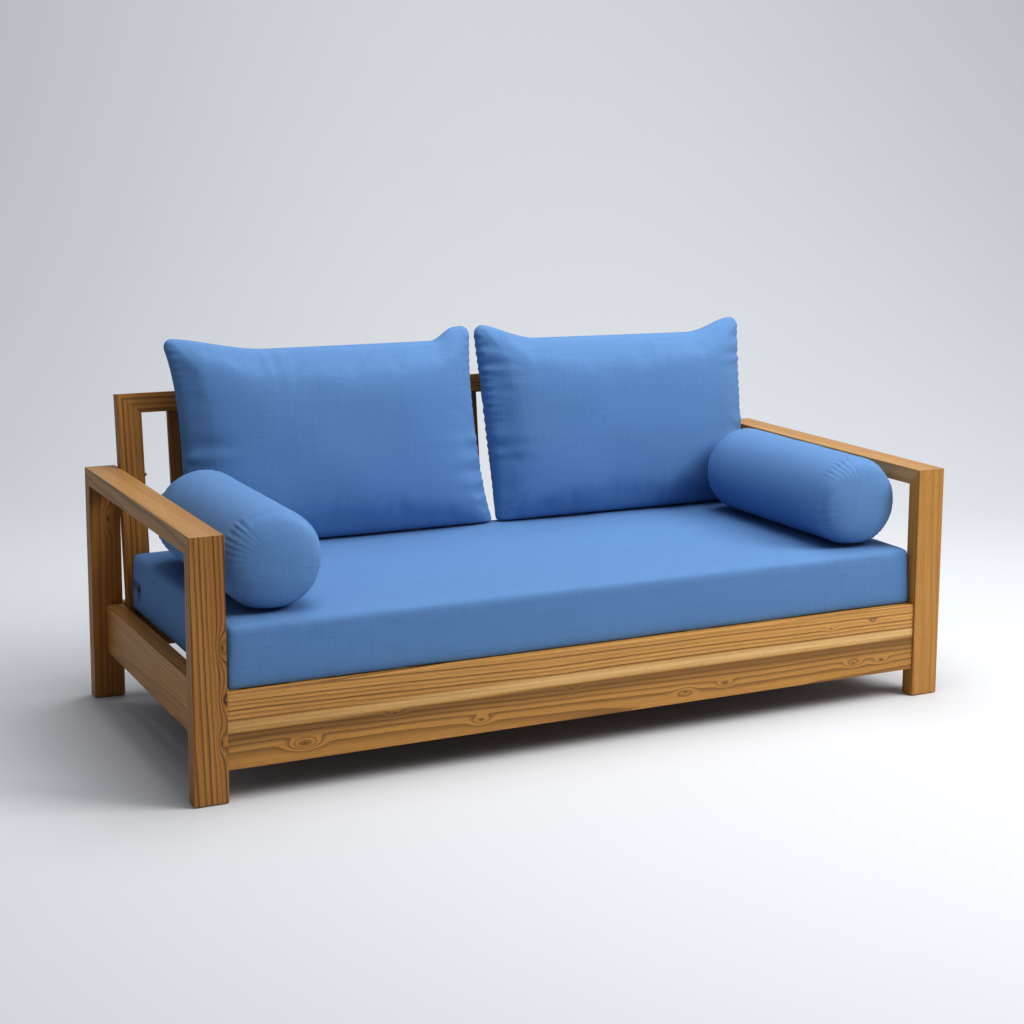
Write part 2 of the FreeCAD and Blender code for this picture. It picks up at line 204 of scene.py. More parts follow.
def bump(height, distance, strength=1.0):
    return height.node("ShaderNodeBump", sockets={"Height": height, "Distance": distance, "Strength": strength})


def paintNode(name, material):
    mesh = nodes[name].data
    mesh.materials.clear()
    mesh.materials.append(material)


backLean = 7.0                          # degrees that the slatted back leans

teak = {
    "light": (0.57, 0.285, 0.066),
    "middle": (0.39, 0.165, 0.030),
    "dark": (0.070, 0.023, 0.004),
    "sapwood": (0.84, 0.54, 0.22),
    "upperRail": (0.78, 0.42, 0.125),
    "knot": (0.045, 0.017, 0.007),
    "ringWidth": 0.0085,
    "wander": 0.030, "wanderScale": (0.9, 5.0),     # how far rings stray; scales are along and across the grain
    "ripple": 0.0022, "rippleScale": (7.0, 55.0),
    "bandScale": (0.45, 9.0), "streakScale": (1.6, 95.0),
    "fibreScale": (5.0, 620.0), "poreScale": (55.0, 1500.0),
    "lateWood": (0.35, 0.93, 0.955),    # where in a ring its dark part begins, is full and ends
    "lineStrength": 0.78, "fibreStrength": 0.22, "poreStrength": 0.35, "knotStrength": 0.85,
    "knotStretch": 2.6, "knotEye": 16.0,
    "roughness": 0.47, "specular": 0.42, "coat": 0.06, "coatRoughness": 0.35,
    "grainDepth": 0.00016,
}


def addKnots(radius, along, across, knots):         # rings swell round each knot, whose eye is dark
    eyes = None
    for knotAlong, knotAcross, size, lift in knots:
        far = (along - knotAlong) / (size * teak["knotStretch"])
        off = (across - knotAcross) / size
        reach = (far * far + off * off) * -1
        radius = radius + reach.math("EXPONENT") * lift
        eye = (reach * teak["knotEye"]).math("EXPONENT")
        eyes = eye if eyes is None else eyes.math("MAXIMUM", eye)
    return radius, eyes


def addSapwood(colour, lines, tone, along, across, stray, sapBand):     # a pale band, dark under it
    height, rise, width, strength = sapBand
    centre = along * rise + height + (stray - 0.5) * 0.02
    sap = 1 - ((across - centre).math("ABSOLUTE") / width).ease(0.3, 1.0)
    sap = sap * (along.ease(-1.0, 0.1) * 0.55 + 0.45) * strength
    above = (across - centre).ease(width * 0.4, width * 1.6)
    colour = (above * (tone * 0.5 + 0.15)).tint(colour, teak["upperRail"])
    colour = sap.tint(colour, teak["sapwood"])
    below = centre - across
    shade = below.ease(width * 0.7, width * 1.1) * (1 - below.ease(width * 1.4, width * 3.6))
    return (shade * 0.55).tint(colour, teak["dark"]), lines * (1 - sap * 0.75)


def teakMaterial(name, board):
    material, surface, place = newMaterial(name)

    def grain(scale, detail, roughness, *shifts):       # noise drawn out along the board
        lengthwise, crosswise = scale
        drawn = [along * lengthwise, across * crosswise, deep * crosswise]
        for axis, amount in enumerate(shifts):
            drawn[axis] = drawn[axis] + amount
        return drawn[0].joined(*drawn[1:]).noise(1.0, detail, roughness)

    x, y, z = place.parts()
    if board.get("leaning"):            # the grain leans back with the board
        y = y - z * math.tan(math.radians(backLean))
    along, across, deep = {"X": (x, z, y), "Y": (y, x, z), "Z": (z, x, y)}[board["grain"]]
    if "cell" in board:                 # boards side by side each get their own piece of the tree
        start, pitch = board["cell"]
        luck = ((x - start) / pitch).math("FLOOR").random()
        other = (luck * 37.7).math("FRACT")
        along = along + luck * 9.0
        acrossShift = other * 0.13
        deepShift = luck * 0.09
    else:
        acrossShift = deepShift = 0.0
    shift = board["shift"]
    stray = grain(teak["wanderScale"], 2.0, 0.5, shift, acrossShift * 20.0, shift)
    quiver = grain(teak["rippleScale"], 3.0, 0.55, 0.0, shift)
    coreAcross, coreDeep = board["core"]
    sideways = across - coreAcross + along * board.get("tilt", 0.0) + acrossShift
    inwards = deep - coreDeep + deepShift
    radius = (sideways * sideways + inwards * inwards) ** 0.5
    radius = radius + (stray - 0.5) * teak["wander"] + (quiver - 0.5) * teak["ripple"]
    radius, eyes = addKnots(radius, along, across, board.get("knots", ()))
    rings = radius / board.get("ringWidth", teak["ringWidth"])
    within = rings.math("FRACT")
    ringLuck = rings.math("FLOOR").random()
    begins, full, ends = teak["lateWood"]
    lines = within.ease(begins, full) * (1 - within.ease(ends, 1.0)) * (ringLuck * 0.75 + 0.25)

    bands = grain(teak["bandScale"], 2.0, 0.5, shift, acrossShift * 30.0)
    fibres = grain(teak["fibreScale"], 2.0, 0.6)
    pores = grain(teak["poreScale"], 1.0, 0.5).ease(0.60, 0.72)
    streaks = grain(teak["streakScale"], 3.0, 0.55, shift)

    tone = bands.ease(0.30, 0.72) * 0.6 + streaks.ease(0.25, 0.75) * 0.4 + board.get("tone", 0.0)
    if "brightening" in board:          # paler towards one end
        tone = tone + along * board["brightening"]
    colour = tone.tint(teak["middle"], board.get("light", teak["light"]))
    if "sapBand" in board:
        colour, lines = addSapwood(colour, lines, tone, along, across, stray, board["sapBand"])
    colour = (lines * board.get("lineStrength", teak["lineStrength"])).tint(colour, teak["dark"])
    colour = ((1 - fibres.ease(0.30, 0.70)) * teak["fibreStrength"]).tint(colour, teak["dark"])
    colour = (pores * teak["poreStrength"]).tint(colour, teak["dark"])
    if eyes is not None:
        colour = (eyes * teak["knotStrength"]).tint(colour, teak["knot"])
    height = fibres * 0.5 + (1 - lines) * 0.35 - pores * 0.8
    roughness = teak["roughness"] + (1 - fibres) * 0.12 + lines * -0.06 + pores * 0.1
    setSurface(surface, {"Base Color": colour, "Roughness": roughness, "Normal": bump(height, teak["grainDepth"])},
               {"Specular IOR Level": teak["specular"], "Coat Weight": teak["coat"],
                "Coat Roughness": teak["coatRoughness"]})
    return material


# core is where the trunk's heart is, across and deep; a knot is along, across, size and lift
boards = {
    "front_leg_left": {"grain": "Z", "core": (-1.035, -0.40), "shift": 2.0, "tilt": 0.03, "ringWidth": 0.0088,
                       "lineStrength": 0.95, "tone": -0.12,
                       "knots": ((0.352, -0.931, 0.012, 0.020), (0.235, -0.930, 0.010, 0.012),
                                 (0.140, -0.936, 0.011, 0.014))},
    "front_leg_right": {"grain": "Z", "core": (0.90, -0.30), "shift": 5.1, "tilt": 0.015, "tone": 0.28,
                        "lineStrength": 0.4},
    "rear_leg_left": {"grain": "Z", "core": (-1.02, 0.36), "shift": 8.4, "tilt": -0.02, "lineStrength": 0.6,
                      "tone": -0.2, "knots": ((0.47, -0.955, 0.012, 0.014),)},
    "rear_leg_right": {"grain": "Z", "core": (0.93, 0.55), "shift": 1.3, "tilt": 0.02, "tone": 0.0},
    "arm_rail_left": {"grain": "Y", "core": (-0.70, 0.50), "shift": 3.3, "tilt": 0.010, "tone": 0.05,
                      "lineStrength": 0.65, "ringWidth": 0.0072, "light": (0.53, 0.305, 0.115)},
    "arm_rail_right": {"grain": "Y", "core": (1.20, 0.50), "shift": 6.2, "tilt": -0.010, "tone": 0.25,
                       "lineStrength": 0.5, "ringWidth": 0.0072, "light": (0.56, 0.330, 0.130)},
    "side_rail_left": {"grain": "Y", "core": (-1.05, 0.12), "shift": 7.7, "tilt": 0.02, "lineStrength": 0.4,
                       "tone": 0.1},
    "side_rail_right": {"grain": "Y", "core": (1.08, 0.10), "shift": 9.2, "tilt": -0.02, "lineStrength": 0.5},
    "front_rail": {"grain": "X", "core": (0.075, -0.40), "shift": 4.4, "tilt": 0.012, "tone": 0.42,
                   "brightening": 0.18, "sapBand": (0.172, 0.002, 0.016, 1.0),
                   "knots": ((-0.745, 0.111, 0.013, 0.028), (-0.530, 0.151, 0.008, 0.010),
                             (-0.315, 0.105, 0.009, 0.014), (-0.078, 0.150, 0.007, 0.010),
                             (0.235, 0.100, 0.010, -0.012), (0.349, 0.108, 0.008, 0.014),
                             (0.735, 0.112, 0.009, 0.016), (0.823, 0.109, 0.008, 0.012),
                             (0.793, 0.216, 0.006, 0.010), (0.663, 0.210, 0.007, 0.009))},
    "rear_rail": {"grain": "X", "core": (0.10, 0.36), "shift": 0.7, "tilt": -0.015,
                  "knots": ((0.42, 0.19, 0.010, 0.014),)},
    "back_post_left": {"grain": "Z", "core": (-0.66, 0.62), "shift": 2.9, "tilt": 0.01, "tone": -0.15,
                       "leaning": True},
    "back_post_right": {"grain": "Z", "core": (0.70, 0.60), "shift": 4.9, "tilt": -0.01, "leaning": True},
    "back_top_rail": {"grain": "X", "core": (0.70, 0.36), "shift": 5.5, "tilt": 0.01, "tone": -0.1},
    "back_bottom_rail": {"grain": "X", "core": (0.33, 0.30), "shift": 6.6, "tilt": 0.01},
    "front_cleat": {"grain": "X", "core": (0.30, -0.30), "shift": 7.2},
    "rear_bearer": {"grain": "X", "core": (0.10, 0.30), "shift": 8.1},
    "cross_beam": {"grain": "Y", "core": (0.05, 0.05), "shift": 9.9},
}
slatRows = {
    "back_slat_": {"grain": "Z", "core": (0.0, 0.55), "shift": 1.7, "tilt": 0.01, "tone": -0.25, "leaning": True},
    "deck_slat_": {"grain": "Y", "core": (0.0, 0.05), "shift": 3.8, "tilt": 0.01},
}
for name, board in boards.items():
    paintNode(name, teakMaterial("teak_" + name, board))


def rowOfBoards(prefix):                # their names, and where the first starts and the next follow
    row = sorted(n for n in nodes if n.startswith(prefix))
    low = [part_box(n)[0][0] for n in row]
    pitch = (low[-1] - low[0]) / (len(row) - 1)
    gap = pitch - (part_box(row[0])[1][0] - low[0])
    return row, (low[0] - gap / 2, pitch)


for prefix, board in slatRows.items():
    row, cell = rowOfBoards(prefix)
    material = teakMaterial("teak_" + prefix.rstrip("_"), {**board, "cell": cell})
    for name in row:
        paintNode(name, material)
print("timber done")


hardware = {
    "beech": (0.52, 0.34, 0.17),
    "zinc": (0.58, 0.58, 0.56),
    "glide": (0.02, 0.02, 0.022),
    "zipTape": (0.02, 0.06, 0.16),
    "zipMetal": (0.03, 0.055, 0.11),
    "glideScuff": (0.05, 0.05, 0.052),
    "zipCoil": (0.012, 0.03, 0.08),
    # a painted sheen, lighter, laid on the twill ridges
    "zipTwillSheen": (0.05, 0.12, 0.27),
    "zipWorn": (0.16, 0.19, 0.24),
    "twillPitch": 5200.0, "coilPitch": 3900.0, "coilEdge": (0.0022, 0.0030), "zipRelief": 0.0006,
}


def beechMaterial():
    material, surface, place = newMaterial("beech_dowels")
    flecks = place.noise(260.0, 3.0, 0.6)
    colour = flecks.ease(0.35, 0.65).tint(hardware["beech"], darker(hardware["beech"], 0.72))
    setSurface(surface, {"Base Color": colour, "Normal": bump(flecks, 0.0001)}, {"Roughness": 0.7})
    return material


def zincMaterial():
    material, surface, place = newMaterial("zinc_plate")
    spangle = place.noise(140.0, 3.0, 0.6)
    fine = place.noise(1500.0, 2.0, 0.6)
    colour = spangle.ease(0.3, 0.7).tint(hardware["zinc"], darker(hardware["zinc"], 0.8))
    setSurface(surface, {"Base Color": colour, "Roughness": spangle * 0.2 + 0.26, "Normal": bump(fine, 0.00003)},
               {"Metallic": 1.0})
    return material


def glideMaterial():
    material, surface, place = newMaterial("glide_plastic")
    grain = place.noise(2200.0, 2.0, 0.6)
    scuffs = place.noise(70.0, 3.0, 0.6)
    colour = scuffs.ease(0.5, 0.75).tint(hardware["glide"], hardware["glideScuff"])
    setSurface(surface, {"Base Color": colour, "Normal": bump(grain, 0.00006)}, {"Roughness": 0.55})
    return material


def zipTapeMaterial():
    material, surface, place = newMaterial("zip_tape")
    x, y, z = place.parts()
    tapeLow, tapeHigh = (corner[2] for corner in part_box("mattress_zip_tape"))
    middle = (z - (tapeLow + tapeHigh) / 2).math("ABSOLUTE")
    pitch = hardware["twillPitch"]
    twill = ((x + y) * pitch + z * pitch).math("SINE") * 0.5 + 0.5
    coil = ((x + y) * hardware["coilPitch"]).math("SINE") * 0.5 + 0.5
    inCoil = 1 - middle.ease(*hardware["coilEdge"])
    colour = (inCoil * 0.7).tint(hardware["zipTape"], hardware["zipCoil"])
    # painted sheen: the tape is tinted lighter where the twill ridges rise
    colour = (twill * 0.25).tint(colour, hardware["zipTwillSheen"])
    height = inCoil * (coil * 1.2 + 1.0) + twill * 0.25
    setSurface(surface, {"Base Color": colour, "Normal": bump(height, hardware["zipRelief"])},
               {"Roughness": 0.8, "Sheen Weight": 0.2})
    return material


def zipMetalMaterial():
    material, surface, place = newMaterial("zip_lacquer")
    wear = place.noise(900.0, 3.0, 0.6)
    colour = wear.ease(0.55, 0.75).tint(hardware["zipMetal"], hardware["zipWorn"])
    setSurface(surface, {"Base Color": colour, "Roughness": wear * 0.25 + 0.25, "Normal": bump(wear, 0.00002)},
               {"Coat Weight": 0.4, "Coat Roughness": 0.2})
    return material


for material, painted in (
        (beechMaterial(), ("mitre_dowels", "rail_dowels")),
        (zincMaterial(), ("deck_screws", "bracket_screws", "coach_screws", "corner_brackets")),
        (glideMaterial(), ("foot_glides",)),
        (zipTapeMaterial(), ("mattress_zip_tape",)),
        (zipMetalMaterial(), ("zip_slider", "zip_pull"))):
    for name in painted:
        paintNode(name, material)
print("hardware done")


cloth = {
    "base": (0.130, 0.268, 0.515),
    "deep": (0.104, 0.228, 0.450),
    "pale": (0.160, 0.312, 0.572),
    "between": (0.03, 0.09, 0.22),      # painted shade, down between the threads
    "thread": 0.0013,                   # metres from thread to thread
    "slubScale": (420.0, 9.0),          # uneven yarns, across and along them
    "weaveDepth": 0.00022,
    "roughness": 0.86,
    "sheen": 0.05, "sheenRoughness": 0.5, "specular": 0.25,
}


def clothMaterial(name):
    material, surface, place = newMaterial(name)
    facing = Wire(place.tree).node("ShaderNodeTexCoord", output=1)
    x, y, z = place.parts()
    nx, ny, nz = [n.math("ABSOLUTE") for n in facing.parts()]
    endOn = nx.math("GREATER_THAN", ny.math("MAXIMUM", nz))
    flat = nz.math("GREATER_THAN", ny.math("MAXIMUM", nx))
    warp = x * (1 - endOn) + y * endOn
    weft = z * (1 - flat) + y * flat
    pitch = 2 * math.pi / cloth["thread"]
    over = (warp * pitch).math("SINE")
    under = (weft * pitch).math("SINE")
    weave = over * under
    fine, long = cloth["slubScale"]
    warpSlub = (warp * fine).joined(weft * long, z * 2.0).noise(1.0, 2.0, 0.6)
    weftSlub = (warp * long).joined(weft * fine, z * 2.0 + 5.0).noise(1.0, 2.0, 0.6)
    speckle = place.noise(900.0, 2.0, 0.7)
    fade = place.noise(3.2, 2.0, 0.5)
    slub = (warpSlub + weftSlub) * 0.5
    colour = slub.ease(0.30, 0.70).tint(cloth["deep"], cloth["pale"])
    colour = (0.35 + speckle * 0.2 + fade.ease(0.2, 0.8) * 0.3).tint(colour, cloth["base"])
    # painted shade: the weave's low points between the threads are darkened
    colour = ((1 - (weave * 0.5 + 0.5)) * 0.18).tint(colour, cloth["between"])
    height = weave * 0.5 + slub * 1.2
    setSurface(surface, {"Base Color": colour, "Roughness": cloth["roughness"] + (speckle - 0.5) * 0.08,
                         "Normal": bump(height, cloth["weaveDepth"])},
               {"Sheen Weight": cloth["sheen"], "Sheen Roughness": cloth["sheenRoughness"],
                "Specular IOR Level": cloth["specular"]})
    return material


blueCloth = clothMaterial("blue_cloth")
print("cloth done")


# every padded piece starts as its cut panels, and all are filled together

filling = {"mass": 0.3, "airDamping": 2.0}


def addCloth(obj, look):
    makeActive(obj)
    bpy.ops.object.modifier_add(type="CLOTH")
    settings = obj.modifiers[-1].settings
    settings.quality = look["quality"]
    settings.mass = filling["mass"]
    settings.tension_stiffness = look["stretch"]
    settings.compression_stiffness = look["stretch"]
    settings.shear_stiffness = look["shear"]
    settings.bending_stiffness = look["bend"]
    settings.air_damping = filling["airDamping"]
    settings.use_pressure = True
    settings.uniform_pressure_force = look["pressure"]
    if "gather" in look:                # the seam takes up a little cloth
        settings.vertex_group_shrink = "gather"
        settings.shrink_min = 0.0
        settings.shrink_max = look["gather"]
    settings.effector_weights.gravity = 0.0
    obj.modifiers[-1].collision_settings.use_collision = False


def takeShape(obj, reach):              # fixes the stuffed shape in the mesh
    makeActive(obj)
    start = readPoints(obj)
    bpy.ops.object.modifier_apply(modifier=obj.modifiers[-1].name)
    moved = readPoints(obj) - start
    length = np.linalg.norm(moved, axis=1, keepdims=True)
    moved = moved * np.minimum(1, reach / np.maximum(length, 1e-9))
    writePoints(obj, refit(start + moved, start))


def gatherNear(obj, distances, reach):  # where a seam takes up cloth, most on the seam itself
    group = obj.vertex_groups.new(name="gather")
    for index, near in enumerate(distances):
        group.add([index], float(max(0.0, 1 - near / reach)), "REPLACE")


def addGrid(name, cells, size):
    pickNone()
    bpy.ops.mesh.primitive_grid_add(x_subdivisions=cells[0], y_subdivisions=cells[1], size=1)
    obj = bpy.context.object
    obj.name = obj.data.name = name
    points = readPoints(obj)
    points[:, 0] *= size[0]
    points[:, 1] *= size[1]
    writePoints(obj, points)
    return obj


def putInOrder(obj):                    # extruding shuffles the faces, and cloth settles a little by their order
    points = readPoints(obj)
    order = np.lexsort(np.round(points, 6).T)
    rank = np.argsort(order)
    faces = []
    for face in obj.data.polygons:
        corners = [int(rank[index]) for index in face.vertices]
        first = corners.index(min(corners))
        faces.append(corners[first:] + corners[:first])
    obj.data.clear_geometry()
    obj.data.from_pydata(points[order].tolist(), [], sorted(faces))
    obj.data.update()


def closeSides(obj, depth, rows):       # a flat panel pulled down into a closed box
    makeActive(obj)
    bpy.ops.object.mode_set(mode="EDIT")
    bpy.ops.mesh.select_all(action="SELECT")
    for _ in range(rows):
        bpy.ops.mesh.extrude_region_move(TRANSFORM_OT_translate={"value": (0, 0, depth / rows)})
    bpy.ops.mesh.select_all(action="SELECT")
    bpy.ops.mesh.normals_make_consistent(inside=False)
    bpy.ops.object.mode_set(mode="OBJECT")
    putInOrder(obj)
    points = readPoints(obj)
    points[:, 2] -= depth / 2
    writePoints(obj, points)


# back cushions: two panels sewn round the edge; corners and ears are across and up

backCushion = {
    "cells": (84, 56), "flat": (0.86, 0.525),
    "seamAhead": 0.082,                 # how far the seam stands before the slats
    "thickness": 0.172, "fullness": 2.8, "edgeSteepness": 0.47,
    "cornerCut": 0.030, "unevenness": 0.05, "edgeThickness": 0.002,
    "left": {"topLeft": (-0.826, 0.932), "topRight": (0.0330, 0.931), "lowRight": (0.0790, 0.380),
             "lowLeft": (-0.812, 0.380), "pullLeft": 0.030, "pullRight": 0.021, "dip": 0.029,
             "earLeft": (0.03, 0.28), "earRight": (0.050, 0.128)},
    "right": {"topLeft": (0.0365, 0.932), "topRight": (0.887, 0.924), "lowRight": (0.900, 0.380),
              "lowLeft": (0.0825, 0.380), "pullLeft": 0.003, "pullRight": 0.011, "dip": 0.031,
              "earLeft": (0.025, 0.20), "earRight": (0.035, 0.185)},
    "pressure": 3.2, "frames": 22, "reach": 0.013, "seamGather": 0.04, "gatherReach": 0.03,
    "puckerDepth": 0.0026, "puckerPitch": 0.022, "puckerReach": 0.034,
    "creaseDepth": 0.0040, "creasePitch": 0.055, "creaseReach": 0.060,
    "seamDip": 0.0012, "seamWidth": 0.004,
    "backGap": 0.0016, "seatGap": 0.0010, "backSoftness": 0.007, "seatSoftness": 0.004, "dentGap": 0.0035,
}
cushionCloth = {"quality": 5, "stretch": 15.0, "shear": 6.0, "bend": 0.08, "pressure": backCushion["pressure"],
                "gather": backCushion["seamGather"]}
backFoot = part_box("back_post_left")[0]
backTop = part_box("back_top_rail")[1][2]
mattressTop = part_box("mattress_cover")[1][2]


def backPlane(height):                  # where the front of the slatted back is, at a height
    return backFoot[1] + (height - backFoot[2]) * math.tan(math.radians(backLean))


def cutBackCushion(side):
    look, cut = backCushion, backCushion[side]
    obj = addGrid("back_cushion_" + side, look["cells"], (2.0, 2.0))
    closeSides(obj, 0.02, 1)
    points = readPoints(obj)
    face = np.sign(points[:, 2])        # 1 in front, -1 behind
    u, v = points[:, 0].copy(), points[:, 1].copy()
    half = np.array(look["flat"]) / 2
    flat = np.stack((u, v), axis=1) * half
    corner = look["cornerCut"]
    inside = np.maximum(np.abs(flat) - (half - corner), 0) / corner
    both = (inside > 0).all(axis=1)
    a, b = inside[both, 0], inside[both, 1]
    rounded = np.stack((a * np.sqrt(1 - b * b / 2), b * np.sqrt(1 - a * a / 2)), axis=1)
    flat[both] = np.sign(flat[both]) * (half - corner + rounded * corner)
    s, t = (flat / half).T
    gap = np.minimum(half[0] * (1 - np.abs(u)), half[1] * (1 - np.abs(v)))
    onSide = half[0] * (1 - np.abs(u)) < half[1] * (1 - np.abs(v))
    alongEdge = np.where(onSide, flat[:, 1], flat[:, 0])
    keepPoints(obj, "cut", np.stack((gap, alongEdge, onSide * 2.0 + (face > 0)), axis=1))

    right, up = (s + 1) / 2, (t + 1) / 2
    across, height = ((1 - right) * up * cut["topLeft"][axis] + right * up * cut["topRight"][axis]
                      + right * (1 - up) * cut["lowRight"][axis] + (1 - right) * (1 - up) * cut["lowLeft"][axis]
                      for axis in (0, 1))
    pull = np.where(s < 0, cut["pullLeft"], -cut["pullRight"]) * (1 - np.abs(t) ** 2.4) * np.abs(s) ** 2
    across = across + pull
    leftEar = smoothStep((s + 1) * half[0], *cut["earLeft"])
    rightEar = smoothStep((1 - s) * half[0], *cut["earRight"])
    height = height - cut["dip"] * leftEar * rightEar * np.clip(t, 0, 1) ** 2.5
    plump = (1 - np.abs(u) ** look["fullness"]).clip(0) * (1 - np.abs(v) ** look["fullness"]).clip(0)
    out = face * (look["thickness"] / 2 * plump ** look["edgeSteepness"] + look["edgeThickness"])
    lumps = softNoise(np.stack((across, height, face), axis=1), 7.0, 3 if side == "left" else 8)
    out = out * (1 + look["unevenness"] * lumps)
    lean = math.radians(backLean)
    seamPlane = backPlane(height) - look["seamAhead"] / math.cos(lean)
    points = np.stack((across, seamPlane - out * math.cos(lean), height + out * math.sin(lean)), axis=1)
    writePoints(obj, points)
    gatherNear(obj, gap, look["gatherReach"])
    addCloth(obj, cushionCloth)
    return obj


# mattress: a boxed cover over a foam block

mattress = {
    "cell": 0.0175, "rounding": 0.015, "lowRounding": 0.007, "cornerRounding": 0.009, "inset": 0.003,
    "pressure": 1.2, "reach": 0.004,
    "waver": 0.0016, "rightSwell": 0.0055,
    "sag": 0.001, "footSag": 0.006, "footReach": 0.03, "deckGap": 0.0003, "deckSoftness": 0.0010,
}
mattressCloth = {"quality": 4, "stretch": 22.0, "shear": 12.0, "bend": 2.0, "pressure": mattress["pressure"]}


def cutMattress():
    look = mattress
    low, high = (np.array(corner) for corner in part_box("mattress_cover"))
    size = high - low - 2 * look["inset"]
    cells = (round(size[0] / look["cell"]), round(size[1] / look["cell"]))
    obj = addGrid("mattress", cells, size[:2])
    closeSides(obj, size[2], round(size[2] / look["cell"]))
    points = readPoints(obj)
    half = size / 2
    rounding = np.where(points[:, 2:] > 0, look["rounding"], look["lowRounding"])
    edgeRows = np.abs(np.abs(points) - (half - look["cell"])) < look["cell"] * 0.45
    points = np.where(edgeRows, np.sign(points) * (half - rounding), points)
    sideRows = (np.abs(points[:, :2]) > half[:2] - look["rounding"] * 1.01).all(axis=1)
    upright = sideRows[:, None] & (np.abs(points[:, 2:]) < half[2] - 0.02)
    rounding = np.where(upright, look["cornerRounding"], rounding)
    inner = np.clip(points, -half + rounding, half - rounding)
    out = points - inner
    length = np.linalg.norm(out, axis=1, keepdims=True)
    reach = np.abs(out).max(axis=1, keepdims=True)
    points = inner + out * np.where(length > 0, reach / np.maximum(length, 1e-9), 0)
    writePoints(obj, points + (low + high) / 2)
    addCloth(obj, mattressCloth)
    return obj


# bolsters: a rolled panel with a round panel sewn on at each end

bolster = {
    "around": 120, "cell": 0.0088, "capRings": 18,
    "middle": {"left": -0.781, "right": 0.799},
    "radius": (0.1195, 0.1165),         # across and up
    "ends": (-0.4090, 0.2262), "seamIn": 0.042, "domeDepth": 0.056, "domeFullness": 2.35,
    "settle": 0.003, "unevenness": 0.0012,
    "pressure": 3.5, "reach": 0.005, "seamGather": 0.03, "gatherReach": 0.015,
    "puckerDepth": 0.0034, "puckers": 46, "puckerReach": 0.012,
    "seamDip": 0.0014, "seamWidth": 0.0028,
    "seatGap": 0.0008, "seatSoftness": 0.004,
}
bolsterCloth = {"quality": 4, "stretch": 16.0, "shear": 6.0, "bend": 0.10, "pressure": bolster["pressure"],
                "gather": bolster["seamGather"]}


def cutBolster(side):
    look = bolster
    front, rear = look["ends"]
    length = rear - front
    body = round((length - 2 * look["seamIn"]) / look["cell"])
    rings = look["capRings"]
    rows = body + 2 * rings
    obj = addGrid("bolster_" + side, (look["around"], rows), (1.0, 1.0))
    points = readPoints(obj)
    angle = points[:, 0] * 2 * math.pi
    row = np.rint((points[:, 1] + 0.5) * rows)
    fromEnd = np.minimum(row, rows - row)
    # rows crowd towards the rim of each end, where the dome turns
    depth = look["domeDepth"]
    rim = np.interp(np.arange(rings + 1), (0, rings), (0, 1))
    rimDepth = depth * (1 - (1 - rim ** look["domeFullness"]).clip(0) ** (1 / look["domeFullness"]))
    rimDepth = rimDepth / rimDepth[-1] * look["seamIn"]
    bodyDepth = look["seamIn"] + (np.arange(1, body // 2 + 2)) * (length - 2 * look["seamIn"]) / body
    depths = np.concatenate((rimDepth, bodyDepth))
    along = depths[fromEnd.astype(int)]
    fromRim = 1 - (along / depth).clip(0, 1)
    dome = (1 - fromRim ** look["domeFullness"]).clip(0) ** (1 / look["domeFullness"])
    place = np.where(row < rows / 2, front + along, rear - along)
    wide, tall = look["radius"]
    rolled = np.stack((dome * wide * np.sin(angle), place, dome * tall * np.cos(angle)), axis=1)
    rolled += np.array((look["middle"][side], 0, mattressTop + tall - look["settle"]))
    writePoints(obj, rolled)
    fromSeam = np.abs(along - look["seamIn"])
    keepPoints(obj, "cut", np.stack((fromSeam, angle, (row < rows / 2) * 1.0), axis=1))
    gatherNear(obj, fromSeam, look["gatherReach"])
    makeActive(obj)
    bpy.ops.object.mode_set(mode="EDIT")
    bpy.ops.mesh.select_all(action="SELECT")
    bpy.ops.mesh.remove_doubles(threshold=1e-5)
    bpy.ops.mesh.normals_make_consistent(inside=False)
    bpy.ops.object.mode_set(mode="OBJECT")
    points = readPoints(obj)
    lumps = softNoise(points, 18.0, 5 if side == "left" else 12)
    points += look["unevenness"] * lumps[:, None] * readNormals(obj)
    writePoints(obj, points)
    addCloth(obj, bolsterCloth)
    return obj


sides = ("left", "right")
soft = {"mattress": cutMattress()}
for side in sides:
    soft["back_cushion_" + side] = cutBackCushion(side)
    soft["bolster_" + side] = cutBolster(side)
for number in range(1, backCushion["frames"] + 1):
    bpy.context.scene.frame_set(number)
print("stuffing done")
reaches = {"mattress": mattress["reach"], "back": backCushion["reach"], "bolster": bolster["reach"]}
for name, obj in soft.items():
    takeShape(obj, reaches[name.split("_")[0]])


def pressOn(heights, floor, blend):     # rests on a level floor, with a rounded foot
    return np.maximum(floor, floor + blend * np.logaddexp(0, (heights - floor) / blend))


